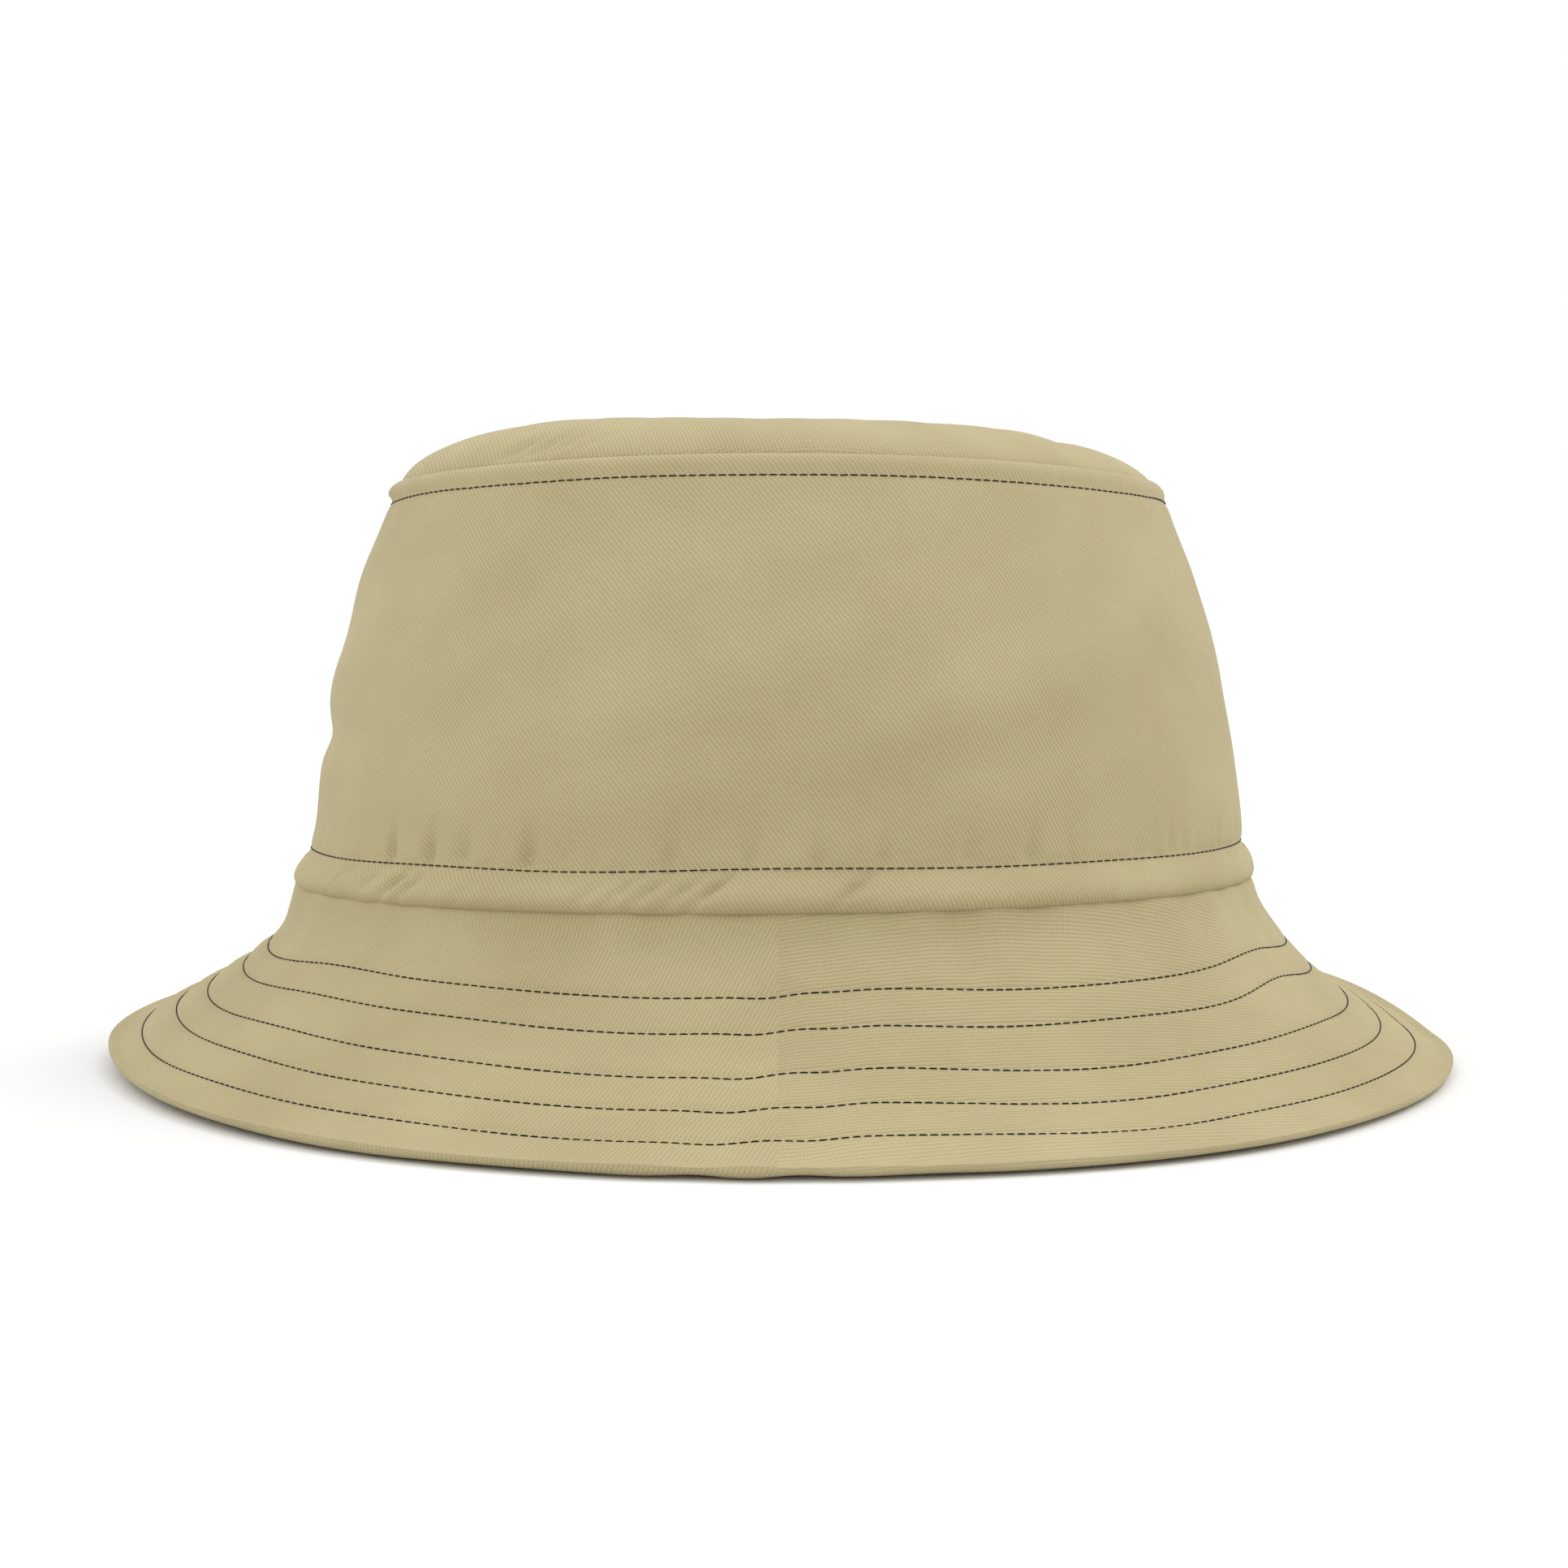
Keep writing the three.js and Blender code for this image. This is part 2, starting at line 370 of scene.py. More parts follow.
def laid_flat(run, share, fan):
    """A tapering panel laid flat is a fan: run is the way across it, share the way round it."""
    arc, foot_radius, widens = fan
    radius = foot_radius + run * widens
    turn = arc * share
    return np.stack([radius * np.cos(turn), radius * np.sin(turn)], axis=-1)


def spun(flat, degrees):
    """Places on the flat cloth, turned clockwise."""
    spin = math.radians(degrees)
    turn = [[math.cos(spin), -math.sin(spin)], [math.sin(spin), math.cos(spin)]]
    return flat @ np.array(turn)


def thicken(piece, thickness, middle=False):
    """Gives a face its thickness, behind it or half on each side."""
    shell = piece.modifiers.new("thickness", "SOLIDIFY")
    shell.thickness = thickness * MM
    shell.offset = 0 if middle else -1
    shell.use_even_offset = True
    shell.use_quality_normals = True


def swept_panel(name, line, facing, start, stop, columns, relief, thickness, fan, weave_turn, fabric,
                middle=False):
    """A panel carried round the hat, facing the left or right of its line. relief(angle, z, run) is
    how far its face stands proud, and weave_turn how its weave is turned on the flat cloth."""
    closed = stop - start > 2 * math.pi - 1e-6
    angles = np.linspace(start, stop, columns, endpoint=not closed)
    square = square_to(line, facing)
    run = along(line)
    angle, d = np.meshgrid(angles, line[:, 0], indexing="ij")
    z = np.broadcast_to(line[:, 1], d.shape)
    distance = np.broadcast_to(run, d.shape)
    proud = relief(angle, z, distance)
    out = d + square[:, 0] * proud
    height = z + square[:, 1] * proud
    height = np.maximum(height + lift(angle, z), 0)
    x, y = round_oval(out + spread(angle, d, z), angle)
    places = np.stack([x, y, height], axis=-1).reshape(-1, 3)
    faces = grid_faces(len(angles), len(line), closed)
    if facing == LEFT:
        faces = [face[::-1] for face in faces]
    piece = make_mesh(name, places, faces)
    share = (angle - start) / (stop - start)
    flat = laid_flat(distance, share, fan).reshape(-1, 2)
    cloth_coordinates(piece, spun(flat, weave_turn))
    thicken(piece, thickness, middle)
    piece.data.materials.append(fabric)
    return piece


# Materials

def material(name, colour, roughness, sheen=0.0):
    made = bpy.data.materials.new(name)
    made.use_nodes = True
    tree = made.node_tree
    shader = tree.nodes["Principled BSDF"]
    shader.inputs["Base Color"].default_value = (*colour, 1)
    shader.inputs["Roughness"].default_value = roughness
    shader.inputs["Specular IOR Level"].default_value = 0.2
    shader.inputs["Sheen Weight"].default_value = sheen
    shader.inputs["Sheen Roughness"].default_value = 0.5
    return made, tree, shader


def maths(tree, operation, a, b=None, clamp=False):
    node = tree.nodes.new("ShaderNodeMath")
    node.operation = operation
    node.use_clamp = clamp
    for socket, value in zip(node.inputs, (a, b)):
        if value is None:
            continue
        if isinstance(value, (int, float)):
            socket.default_value = value
        else:
            tree.links.new(value, socket)
    return node.outputs[0]


def weighted(tree, first, weight, second, other_weight):
    """The sum of two values, each multiplied by its weight."""
    first = maths(tree, "MULTIPLY", first, weight)
    second = maths(tree, "MULTIPLY", second, other_weight)
    return maths(tree, "ADD", first, second)


def centred(tree, noise, strength):
    """A noise from 0 to 1 moved to lie on both sides of 0."""
    return maths(tree, "MULTIPLY", maths(tree, "SUBTRACT", noise, 0.5), strength)


def noise_at(tree, place, scale, detail):
    texture = tree.nodes.new("ShaderNodeTexNoise")
    texture.inputs["Scale"].default_value = scale
    texture.inputs["Detail"].default_value = detail
    tree.links.new(place, texture.inputs["Vector"])
    return texture.outputs["Fac"]


def colour_between(tree, share, first, second):
    tint = tree.nodes.new("ShaderNodeMix")
    tint.data_type = "RGBA"
    tint.inputs["A"].default_value = (*first, 1)
    tint.inputs["B"].default_value = (*second, 1)
    tree.links.new(share, tint.inputs["Factor"])
    return tint.outputs["Result"]


def wave_across(tree, u, v, degrees, period, wobble):
    """Ribs a period apart, from 0 in the furrows to 1 on the ribs."""
    spin = math.radians(degrees)
    across = maths(tree, "ADD", weighted(tree, u, math.cos(spin), v, math.sin(spin)), wobble)
    turned = maths(tree, "MULTIPLY", across, 2 * math.pi / period)
    return maths(tree, "ADD", maths(tree, "MULTIPLY", maths(tree, "SINE", turned), 0.5), 0.5)


# How woven cloth looks: the angle between rib and cross yarn in degrees, how much each shows, how far
# the yarns stray in millimetres, and the strengths of the yarns' own unevenness and of the blotches.
YARN_ANGLE = 86
RIB_SHARE = 0.62
YARN_STRAY = 0.35
UNEVENNESS = 0.3
BLOTCHES = 0.7


def woven(name, light, dark, rib, cross, bump):
    """Cotton with a rib and a cross yarn, uneven yarns, soft blotches and a little fuzz, its furrows painted
    darker than its ribs as painted shade. rib and cross are how far apart the yarns lie and bump how deep
    the furrows are, in millimetres."""
    made, tree, shader = material(name, light, roughness=0.9, sheen=0.08)
    place = tree.nodes.new("ShaderNodeAttribute")
    place.attribute_name = "cloth"
    parts = tree.nodes.new("ShaderNodeSeparateXYZ")
    tree.links.new(place.outputs["Vector"], parts.inputs[0])
    u, v = parts.outputs[0], parts.outputs[1]

    slubs = noise_at(tree, place.outputs["Vector"], scale=0.35, detail=3)
    wobble = centred(tree, slubs, YARN_STRAY)
    ribs = wave_across(tree, u, v, 0, rib, wobble)
    picks = wave_across(tree, u, v, YARN_ANGLE, cross, wobble)
    weave = weighted(tree, ribs, RIB_SHARE, picks, 1 - RIB_SHARE)

    yarns = noise_at(tree, place.outputs["Vector"], scale=1.6, detail=2)
    blotches = noise_at(tree, place.outputs["Vector"], scale=0.035, detail=3)
    # The ribs are painted lighter and the furrows darker: painted shade in the furrows, mixed with the
    # yarns' own unevenness and blotches of tone that differ at random.
    furrow_shade_and_tone = weighted(tree, weave, 1 - UNEVENNESS, yarns, UNEVENNESS)
    furrow_shade_and_tone = maths(tree, "ADD", furrow_shade_and_tone, centred(tree, blotches, BLOTCHES), clamp=True)
    tree.links.new(colour_between(tree, furrow_shade_and_tone, dark, light), shader.inputs["Base Color"])

    relief = tree.nodes.new("ShaderNodeBump")
    relief.inputs["Strength"].default_value = 1
    relief.inputs["Distance"].default_value = bump * MM
    tree.links.new(weave, relief.inputs["Height"])
    tree.links.new(relief.outputs["Normal"], shader.inputs["Normal"])
    return made


def linear(red, green, blue):
    """A colour given as the eye sees it on a screen, from 0 to 255."""
    return tuple((value / 255) ** 2.2 for value in (red, green, blue))


def khaki_material():
    light, dark = linear(193, 181, 140), linear(160, 147, 110)
    return woven("khaki_twill", light, dark, rib=0.73, cross=0.49, bump=0.09)


def lining_material():
    light, dark = linear(206, 196, 166), linear(188, 177, 146)
    return woven("lining_cotton", light, dark, rib=0.4, cross=0.4, bump=0.03)


def sweatband_material():
    light, dark = linear(188, 174, 134), linear(160, 146, 108)
    return woven("sweatband_twill", light, dark, rib=1.1, cross=0.5, bump=0.1)


def interlining_material():
    light, dark = linear(228, 224, 212), linear(208, 203, 190)
    return woven("interlining", light, dark, rib=0.9, cross=0.9, bump=0.05)


def thread_material():
    made, tree, shader = material("dark_thread", linear(28, 22, 14), roughness=0.7)
    place = tree.nodes.new("ShaderNodeTexCoord")
    twist = noise_at(tree, place.outputs["Object"], scale=2500, detail=2)
    tint = colour_between(tree, twist, linear(20, 15, 9), linear(42, 34, 22))
    tree.links.new(tint, shader.inputs["Base Color"])
    return made


khaki = khaki_material()
lining_cotton = lining_material()
sweatband_twill = sweatband_material()
interlining = interlining_material()


dark_thread = thread_material()


# Relief of the cloth

def stitch_groove(distance, row, depth=0.4, width=0.9):
    return -depth * bell(distance, row, width)


# Slow waves of the crown wall: a random seed, and how far the wave leans round the hat as it rises
SLOW_WAVES = ((11, 0.02), (12, -0.03), (13, 0.01))
SLOW_WAVE_HEIGHT = 0.22

# Swells and dents of the wall: direction and width in degrees, height and its width, how far out
WALL_SWELLS = (
    (BACK_END, 30, 107, 11, 1.1),
    (BACK_END, 30, 82, 8, 1.0),
    (BACK_END, 30, 71, 4, -1.4),
    (FRONT_END, 25, 98, 10, 0.8),
    (-110, 8, 62, 7, 0.9),
    (-71, 9, 78, 11, 1.2),
)


def soft_body(angle, z):
    """The slow waves and dents of the crown wall, which its lining and sweatband share."""
    body = step(z, FOOT_STITCH, FOOT_STITCH + 25) * (1 - step(z, HEAD_STITCH - 20, HEAD_STITCH))
    body = body * (0.45 + 0.85 * np.sin(angle) ** 2)
    total = np.zeros_like(angle)
    for seed, slant in SLOW_WAVES:
        total = total + SLOW_WAVE_HEIGHT * body * ripple(angle + slant * (z - 80), range(3, 11), seed)
    for degrees, wide, height, tall, out in WALL_SWELLS:
        total = total + out * towards(angle, degrees, wide) * bell(z, height, tall)
    return total


def gathers(angle, rise, count, width, slant, seed):
    """Short hollows where a seam gathers the cloth, unevenly spaced, from 0 between them to about 1.
    rise is the way from the seam in millimetres, slant how far a hollow leans round the hat for each."""
    chance = np.random.default_rng(seed)
    total = np.zeros_like(angle)
    for gather in range(count):
        centre = (gather + chance.uniform(-0.35, 0.35)) * 360 / count
        depth = chance.uniform(0.15, 1) ** 1.3
        lean = slant * chance.uniform(0.6, 1.4)
        wide = width * chance.uniform(0.8, 1.5)
        total = total + depth * bell(angle_from(angle, centre) + lean * rise, 0, wide)
    return total


# The deepest hollows above the wall's foot, creases of the roll and pleats at the tip's edge:
# direction in degrees, and depth as a share of the deepest
FOOT_HOLLOWS = (
    (-139, 0.8), (-132, 1.0), (-126.5, 0.7), (-118, 1.0), (-101.5, 0.7), (-93, 0.6), (-86, 0.7),
    (-79, 0.7), (-69.5, 0.5), (-62, 0.5), (-40, 0.4),
)
ROLL_CREASES = (
    (-139, 0.6), (-134, 0.8), (-131, 0.7), (-107, 0.5), (-104, 0.6), (-101, 0.7), (-97.5, 0.8),
    (-94.5, 1.0), (-80, 0.9),
)
TIP_PLEATS = ((-140, 1.0), (-135, 0.9), (-131, 0.6), (-126, 0.3))
HOLLOW_DEPTH = 1.8
CREASE_DEPTH = 1.6
PLEAT_DEPTH = 2.2

# The cloth lies flat this close to the foot's stitches.
SEAM_CLEAR = 1.5


def hollows(angle, places, width):
    return sum(depth * towards(angle, place, width) for place, depth in places)


def back_seam(angle):
    return -0.3 * towards(angle, BACK_END, 0.5)


def foot_gathers(angle, foot):
    """Hollows above the foot's stitches and creases of the roll below them. foot is the way up the
    wall from the stitches."""
    fading = np.exp(-((np.clip(foot - SEAM_CLEAR, 0, None) / 4.5) ** 1.5))
    above = fading * step(foot, 0, SEAM_CLEAR)
    hollow = HOLLOW_DEPTH * hollows(angle - 0.001 * foot, FOOT_HOLLOWS, 0.95)
    hollow = hollow + 0.5 * gathers(angle, foot, count=76, width=0.9, slant=-0.05, seed=4)
    below = bell(foot, -3.7, 3.2) * step(-foot, 0, SEAM_CLEAR)
    crease = CREASE_DEPTH * hollows(angle - 0.01 * foot, ROLL_CREASES, 0.75)
    crease = crease + 0.45 * gathers(angle, foot, count=92, width=0.8, slant=-0.55, seed=14)
    return -above * hollow - below * crease


def head_gathers(angle, head):
    fading = np.exp(-np.abs(head) / 4)
    return -0.2 * gathers(angle, head, count=80, width=0.7, slant=0.1, seed=5) * fading


def roll_fullness(angle, foot):
    """How much fuller the roll is on the near side and at each end."""
    near = 0.9 * bell(foot, -6, 2.6) * towards(angle, NEAR_SIDE, 45)
    back = (0.3 * bell(foot, -7, 2) - 0.4 * bell(foot, -2.5, 2)) * towards(angle, BACK_END, 40)
    front = 0.5 * bell(foot, -5, 2.5) * towards(angle, FRONT_END, 40)
    return near + back + front


def wall_relief(row_foot, row_head):
    def relief(angle, z, distance):
        foot = distance - row_foot
        head = distance - row_head
        total = foot_gathers(angle, foot) + head_gathers(angle, head) + roll_fullness(angle, foot)
        total = total + soft_body(angle, z) + back_seam(angle)
        return total + stitch_groove(foot, 0, 0.5) + stitch_groove(head, 0)

    return relief


def nearest_run(line, d, z):
    """How far along a line its point nearest a place is."""
    return along(line)[np.argmin(np.hypot(line[:, 0] - d, line[:, 1] - z))]


def crown_wall():
    """The wall, its line, and how far along it the two rows of stitches lie."""
    line = wall_line(1.0)
    row_foot = nearest_run(line, 0.2, FOOT_STITCH)
    row_head = nearest_run(line, -WALL_TAPER + 0.1, HEAD_STITCH)
    wall = swept_panel(
        "crown_wall_cloth", line, RIGHT, WALL_START, WALL_STOP, 900,
        wall_relief(row_foot, row_head), CLOTH, WALL_FAN, -36, khaki,
    )
    return wall, line, row_foot, row_head


# Brim

ROW_NAMES = [f"thread_brim_{i}" for i in range(1, 6)]

# Where the rows stray: direction, width, and how far each row strays outwards, from the inmost
ROW_STRAYS = (
    (-160, 12, (1.4, 1.2, 0.4, 0, 0)),
    (-142, 10, (-0.9, -0.9, -0.9, -0.9, -0.9)),
    (-100, 15, (1.1, 1.1, 1.1, 1.1, 1.1)),
    (-79, 9, (-1.1, -1.1, -1.1, -1.1, -1.1)),
    (-60, 9, (0, 0, 0.6, 0.8, 1.2)),
    (-28, 10, (-2.0, -2.8, -0.6, 0, 0)),
)


def brim_rows(line):
    """How far along the brim's line each row of stitches lies."""
    rows = []
    for name in ROW_NAMES:
        low, high = box_mm(name)
        d = high[0] - THREAD / 2 - HALF_LENGTH
        rows.append(nearest_run(line, d, (low[2] + high[2]) / 2))
    return rows


def row_wander(angle, i):
    """Sewn rows are not quite even: how far row i lies outside its place."""
    strays = [(degrees, width, by_row[i]) for degrees, width, by_row in ROW_STRAYS]
    return swells(angle, strays) + 0.12 * ripple(angle, range(5, 12), 40 + i)


def row_grooves(angle, distance, rows, depth):
    return sum(stitch_groove(distance, row + row_wander(angle, i), depth, 0.8) for i, row in enumerate(rows))


def brim_fullness(angle, distance):
    """The brim swells out just under the roll, most at the back end."""
    back_end = towards(angle, BACK_END, 40)
    return (1.2 + 0.5 * back_end) * bell(distance, 3.5, 3.8) + 1.6 * back_end * bell(distance, 8.5, 4.5)


def seam_puckers(angle, distance):
    from_seam = np.minimum(np.abs(angle_from(angle, NEAR_SIDE)), np.abs(angle_from(angle, FAR_SIDE)))
    return 0.3 * ripple(angle + 0.002 * distance, range(24, 60, 5), 15) * bell(from_seam, 0, 9)


def brim_relief(rows):
    def relief(angle, z, distance):
        total = row_grooves(angle, distance, rows, 0.38)
        steep = 1 - step(distance, rows[0] - 4, rows[0])
        total = total + 0.12 * steep * ripple(angle, range(30, 60, 3), 9)
        total = total + 0.12 * ripple(angle, range(5, 16), 10) * step(distance, 3, 12)
        total = total + brim_fullness(angle, distance)
        for inner, outer in zip(rows, rows[1:]):
            puff = bell(distance, (inner + outer) / 2, 2.6)
            total = total + 0.5 * puff * towards(angle, 175, 30)
        return total + seam_puckers(angle, distance) * step(distance, rows[0] - 6, rows[0])

    return relief


# Each half of the brim, where it starts and how its weave is turned, in degrees
BRIM_HALVES = (("front", NEAR_SIDE, 10), ("back", FAR_SIDE - 360, -24))

INTERLINING = 0.4
# The interlining stops short of the brim's side seams by this angle, and the under cloth short of the
# brim's edge, where the hem covers it.
SEAM_INSET = math.radians(1.5)
HEM_INSET = 3.5


def brim_half(side, start, stop, weave_turn):
    """The upper cloth, under cloth and interlining of a half, with the upper line and its rows."""
    line = brim_top_line(0.75)
    rows = brim_rows(line)
    top = swept_panel(
        f"brim_top_{side}_cloth", line, LEFT, start, stop, 380, brim_relief(rows),
        BRIM_CLOTH, BRIM_FAN, weave_turn, khaki,
    )
    under_line = evenly(beside_brim(-BRIM_HALF), 1.0)
    under_line = under_line[under_line[:, 0] < BRIM_END[0] - HEM_INSET]
    under_rows = [nearest_run(under_line, *line[np.searchsorted(along(line), row)]) for row in rows]
    under = swept_panel(
        f"brim_under_{side}_cloth", under_line, RIGHT, start, stop, 260,
        lambda angle, z, distance: row_grooves(angle, distance, under_rows, 0.2),
        BRIM_CLOTH, BRIM_FAN, weave_turn + 40, khaki,
    )
    core = swept_panel(
        f"brim_interlining_{side}_cloth", evenly(CORE_MIDDLE, 2.0), LEFT,
        start + SEAM_INSET, stop - SEAM_INSET, 160, lambda angle, z, distance: np.zeros_like(distance),
        INTERLINING, BRIM_FAN, 0, interlining, middle=True,
    )
    return top, under, core, line, rows


# Crown tip and lining

# The middle of the tip has slipped this far towards the back end.
TIP_SLIP = 1.8
TIP_WEAVE_TURN = 9
TIP_EDGE = -WALL_TAPER - 2.7
TIP_LINING_EDGE = -WALL_TAPER - 4.1


def tip_height(share):
    """How high the tip stands above its seam, from its middle at 0 to its edge at 1."""
    return (HAT_TOP - TIP_SEAM) * (1 - share**4.5) ** 0.65


def domed_panel(name, edge, depth, skirt_foot, relief, thickness, fabric):
    """A panel that closes over the top of the crown, with its edge turned down into the seam. depth is
    how far it lies under the hat's top."""
    columns = 480
    shares = np.sin(np.linspace(0, math.pi / 2, 56))[1:]
    skirt = np.linspace(0, 1, 7)[1:]
    angles = np.linspace(0, 2 * math.pi, columns, endpoint=False)
    centre = np.array(0.0)
    places = [(-TIP_SLIP, 0, HAT_TOP - depth + float(relief(centre, centre, centre)))]
    weave = [(0, 0)]
    edge_x, edge_y = round_oval(edge + spread(angles, edge, TIP_SEAM), angles)
    rim_lift = lift(angles, np.full(columns, TIP_SEAM))
    for share in shares:
        x, y = edge_x * share, edge_y * share
        z = TIP_SEAM + tip_height(share) - depth + relief(x, y, share) + rim_lift * share**2
        places += list(zip(x - TIP_SLIP * (1 - share**12), y, z))
        weave += list(zip(x, y))
    for down in skirt:
        z = TIP_SEAM - depth + (skirt_foot - TIP_SEAM + depth) * down + rim_lift
        places += list(zip(edge_x, edge_y, z))
        weave += list(zip(edge_x * (1 + down / 10), edge_y * (1 + down / 10)))
    faces = [(0, 1 + i, 1 + (i + 1) % columns) for i in range(columns)]
    for ring in range(len(shares) + len(skirt) - 1):
        inner = 1 + ring * columns
        outer = inner + columns
        for i in range(columns):
            beside = (i + 1) % columns
            faces.append((inner + i, outer + i, outer + beside, inner + beside))
    piece = make_mesh(name, places, faces)
    cloth_coordinates(piece, spun(np.array(weave), TIP_WEAVE_TURN))
    thicken(piece, thickness)
    piece.data.materials.append(fabric)
    return piece


def tip_relief(x, y, share):
    """The tip leans, sags in its middle, is fuller towards both ends and has a soft crease across its
    front end. Its edge has small folds and pleats, and dips into the seam."""
    lean = -0.016 * x + 0.5 * bell(x, -48, 25) - 1.0 * bell(x, -4, 28) + 1.1 * bell(x, 58, 12)
    across_front = x - 52 + 0.35 * y
    crease = -1.6 * bell(across_front, 0, 7) * step(share, 0.2, 0.6)
    angle = np.arctan2(y, x)
    folds = 0.2 * ripple(angle, range(9, 26, 2), 21) * share**4
    pleats = -PLEAT_DEPTH * hollows(angle - 1.2 * (1 - share), TIP_PLEATS, 1.5)
    pleats = pleats * bell(share, 0.955, 0.045)
    groove = -0.6 * share**14
    edge_folds = folds * (1 - share**14) + pleats * (1 - share**50)
    return (lean - 0.5) * (1 - share**4) + crease * (1 - share**6) + edge_folds + groove


def crown_tip():
    return domed_panel("crown_tip_cloth", TIP_EDGE, 0, HEAD_STITCH + 0.5, tip_relief, CLOTH, khaki)


def crown_lining():
    """The lining of the tip and of the wall."""
    tip = domed_panel(
        "crown_tip_lining_cloth", TIP_LINING_EDGE, CLOTH + 2 * GAP, LINING_HEAD - 2, tip_relief,
        LINING, lining_cotton,
    )
    z = np.linspace(FOOT_STITCH + 1, LINING_HEAD, 60)
    line = np.stack([wall_out(z) - CLOTH - 3 * GAP - LINING, z], axis=1)

    def relief(angle, height, distance):
        wrinkle = 0.2 * ripple(angle, range(6, 20, 2), 31) * step(distance, 0, 10)
        return wrinkle - soft_body(angle, height) + back_seam(angle)

    wall = swept_panel(
        "crown_wall_lining_cloth", line, LEFT, WALL_START, WALL_STOP, 360, relief, LINING,
        WALL_FAN, 10, lining_cotton,
    )
    return tip, wall


# How far the sweatband's stitches lie from its lower edge
SWEATBAND_ROW = 2.0


def sweatband():
    """The band, its line and its relief."""
    depth = CLOTH + GAP + LINING + GAP + SWEATBAND
    z = np.linspace(SWEATBAND_FOOT, SWEATBAND_HEAD, 34)
    line = np.stack([wall_out(z) - depth, z], axis=1)

    def relief(angle, height, distance):
        edge = np.minimum(distance, distance.max() - distance)
        wrinkle = 0.12 * ripple(angle, range(10, 30, 2), 51) * step(edge, 0, 5)
        groove = stitch_groove(distance, SWEATBAND_ROW, 0.2)
        return wrinkle + groove - soft_body(angle, height) + back_seam(angle)

    band = swept_panel(
        "sweatband_cloth", line, LEFT, WALL_START, WALL_STOP, 480, relief, SWEATBAND,
        WALL_FAN, 45, sweatband_twill,
    )
    return band, line, relief


# Stitches

# From one stitch to the next, the length and radius of one, how far its middle stands off the cloth
# and how far its ends dip below that
STITCH = 1.95
STITCH_LENGTH = 1.74
STITCH_RADIUS = 0.135
STITCH_RISE = 0.14
STITCH_DIP = 0.5
STITCH_RINGS = 7
STITCH_SIDES = 6


def surface_places(line, facing, run, angle, proud):
    """Places on a swept panel's face at a distance along its line, held proud of it."""
    marks = along(line)
    square = square_to(line, facing)
    d = np.interp(run, marks, line[:, 0])
    z = np.interp(run, marks, line[:, 1])
    out_d = np.interp(run, marks, square[:, 0])
    out_z = np.interp(run, marks, square[:, 1])
    x, y = round_oval(d + out_d * proud + spread(angle, d, z), angle)
    height = np.maximum(z + out_z * proud + lift(angle, z), 0)
    return np.stack([x, y, height], axis=-1)


def add_tube(places, faces, centres, ups, sides, radii):
    """Adds a closed tube: a ring round each centre, faces between the rings, and both ends."""
    first = len(places)
    around = np.linspace(0, 2 * math.pi, STITCH_SIDES, endpoint=False)
    for centre, up, side, radius in zip(centres, ups, sides, radii):
        for turn in around:
            places.append(centre + (up * math.cos(turn) + side * math.sin(turn)) * radius)
    for ring in range(len(centres) - 1):
        start = first + ring * STITCH_SIDES
        for i in range(STITCH_SIDES):
            here = start + i
            beside = start + (i + 1) % STITCH_SIDES
            faces.append((here, beside, beside + STITCH_SIDES, here + STITCH_SIDES))
    last = first + (len(centres) - 1) * STITCH_SIDES
    faces.append(tuple(first + i for i in reversed(range(STITCH_SIDES))))
    faces.append(tuple(last + i for i in range(STITCH_SIDES)))


def stitch_row(name, node, line, facing, run_at, relief):
    """Single stitches of thread, each a little arch that dips into the cloth at both ends. run_at(angle)
    is where the row lies along the panel's line, and relief the panel's own."""
    dense = np.linspace(-math.pi, math.pi, 2881)
    path = surface_places(line, facing, run_at(dense), dense, 0)
    gone = np.concatenate([[0], np.cumsum(np.linalg.norm(np.diff(path, axis=0), axis=1))])
    count = round(gone[-1] / STITCH)
    pitch = gone[-1] / count
    share = np.sin(np.linspace(-math.pi / 2, math.pi / 2, STITCH_RINGS))
    arch = STITCH_RISE - STITCH_DIP * np.abs(share) ** 10
    radii = STITCH_RADIUS * np.sqrt(np.clip(1 - 0.75 * np.abs(share) ** 6, 0.1, 1))
    places, faces = [], []
    for stitch in range(count):
        marks = (stitch + 0.5) * pitch + share * STITCH_LENGTH / 2
        angles = np.interp(marks, gone, dense)
        runs = run_at(angles)
        face = relief(angles, np.interp(runs, along(line), line[:, 1]), runs)
        centres = surface_places(line, facing, runs, angles, face + arch)
        above = surface_places(line, facing, runs, angles, face + arch + 1)
        ups = unit(above - centres)
        ahead = unit(np.gradient(centres, axis=0))
        add_tube(places, faces, centres, ups, unit(np.cross(ahead, ups)), radii)
    piece = make_mesh(name, places, faces)
    piece.data.materials.append(dark_thread)
    dress(piece, "dark_thread", node)


def nearly_even(run, seed):
    """A row at a distance along its panel's line, wandering a little."""
    return lambda angle: run + 0.12 * ripple(angle, range(3, 12), seed)


# The hat

wall, wall_face, wall_foot_row, wall_head_row = crown_wall()
dress(wall, "khaki_twill", "crown_wall")
tip = crown_tip()
dress(tip, "khaki_twill", "crown_tip")
tip_lining, wall_lining = crown_lining()
dress(tip_lining, "lining_cotton", "crown_tip_lining")
dress(wall_lining, "lining_cotton", "crown_wall_lining")
band, band_face, band_shape = sweatband()
dress(band, "sweatband_twill", "sweatband")

for side, degrees, weave_turn in BRIM_HALVES:
    start = math.radians(degrees)
    top, under, core, brim_face, rows = brim_half(side, start, start + math.pi, weave_turn)
    dress(top, "khaki_twill", f"brim_top_{side}")
    dress(under, "khaki_twill", f"brim_under_{side}")
    dress(core, "interlining", f"brim_interlining_{side}")

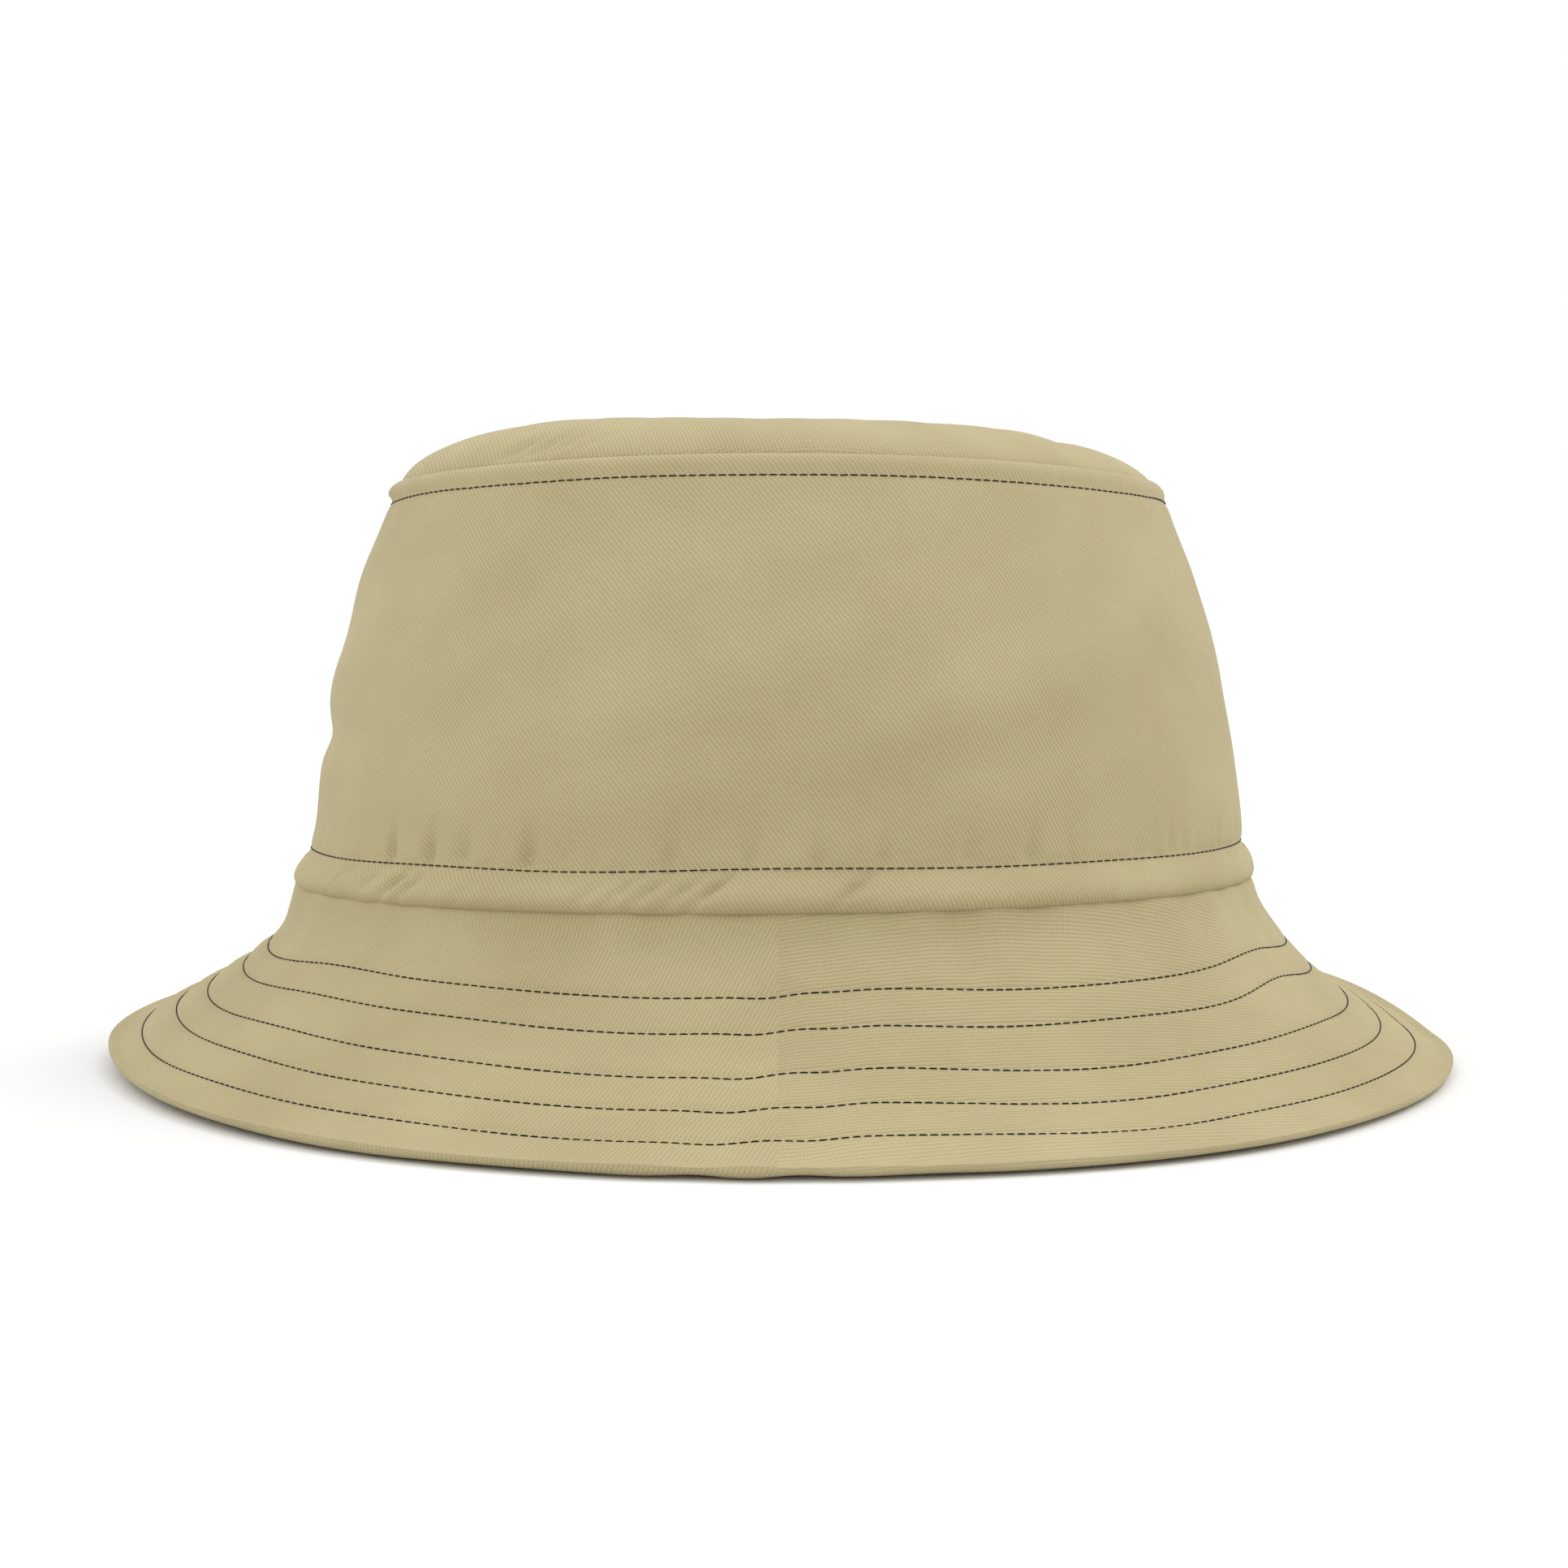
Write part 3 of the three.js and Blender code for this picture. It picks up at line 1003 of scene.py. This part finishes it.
wall_shape = wall_relief(wall_foot_row, wall_head_row)
stitch_row("stitches_crown_base", "thread_crown_base", wall_face, RIGHT,
           nearly_even(wall_foot_row, seed=61), wall_shape)
stitch_row("stitches_crown_top", "thread_crown_top", wall_face, RIGHT,
           nearly_even(wall_head_row, seed=62), wall_shape)
stitch_row("stitches_sweatband", "thread_sweatband", band_face, LEFT,
           lambda angle: np.full_like(angle, SWEATBAND_ROW), band_shape)
for i, name in enumerate(ROW_NAMES):
    stitch_row(f"stitches_brim_{i + 1}", name, brim_face, LEFT,
               lambda angle, i=i: rows[i] + row_wander(angle, i), brim_relief(rows))


# Stage

CAMERA_AT = (1.1, -520, 90.7)
CAMERA_DOWN = 3.6
FOCAL_LENGTH = 53.9
SENSOR_WIDTH = 36


def camera():
    """A camera on the near side that looks down by a few degrees."""
    lens = bpy.data.cameras.new("camera")
    lens.sensor_width = SENSOR_WIDTH
    lens.lens = FOCAL_LENGTH
    eye = bpy.data.objects.new("camera", lens)
    eye.location = [place * MM for place in CAMERA_AT]
    eye.rotation_euler = (math.radians(90 - CAMERA_DOWN), 0, 0)
    bpy.context.scene.collection.objects.link(eye)
    bpy.context.scene.camera = eye


FLOOR_HALF = 4.0
FLOOR_WHITE = 0.84


def floor():
    """A plain pale floor, its half width in metres."""
    corners = [(x * FLOOR_HALF, y * FLOOR_HALF, 0) for x, y in ((-1, -1), (1, -1), (1, 1), (-1, 1))]
    mesh = bpy.data.meshes.new("floor")
    mesh.from_pydata(corners, [], [(0, 1, 2, 3)])
    ground = bpy.data.objects.new("floor", mesh)
    bpy.context.scene.collection.objects.link(ground)
    made = material("floor", (FLOOR_WHITE, FLOOR_WHITE, FLOOR_WHITE), roughness=0.9)[0]
    mesh.materials.append(made)


def sun(name, elevation, azimuth, power, spread):
    """A broad soft light. azimuth is how many degrees it stands round the hat from the camera, towards
    the camera's right, and spread how wide it is."""
    light = bpy.data.lights.new(name, "SUN")
    light.energy = power
    light.angle = math.radians(spread)
    shining = bpy.data.objects.new(name, light)
    shining.rotation_euler = (math.radians(90 - elevation), 0, math.radians(azimuth))
    bpy.context.scene.collection.objects.link(shining)


SKY_AT_HORIZON = 0.74
SKY_RISE = 0.5


def sky():
    """A white backdrop that lights the hat from above a little more than from its sides."""
    world = bpy.data.worlds.new("studio")
    bpy.context.scene.world = world
    world.use_nodes = True
    tree = world.node_tree
    place = tree.nodes.new("ShaderNodeTexCoord")
    parts = tree.nodes.new("ShaderNodeSeparateXYZ")
    tree.links.new(place.outputs["Generated"], parts.inputs[0])
    height = maths(tree, "MAXIMUM", parts.outputs[2], 0)
    glow = maths(tree, "ADD", maths(tree, "MULTIPLY", height, SKY_RISE), SKY_AT_HORIZON)
    seen = tree.nodes.new("ShaderNodeLightPath").outputs["Is Camera Ray"]
    unseen = maths(tree, "SUBTRACT", 1, seen)
    strength = maths(tree, "ADD", maths(tree, "MULTIPLY", glow, unseen), seen)
    backdrop = tree.nodes["Background"]
    backdrop.inputs["Color"].default_value = (1, 1, 1, 1)
    tree.links.new(strength, backdrop.inputs["Strength"])


def lighting():
    sky()
    sun("key", elevation=52, azimuth=105, power=0.8, spread=30)
    sun("fill", elevation=35, azimuth=-95, power=0.4, spread=50)


camera()
floor()
lighting()
bpy.context.scene.view_settings.view_transform = "Standard"
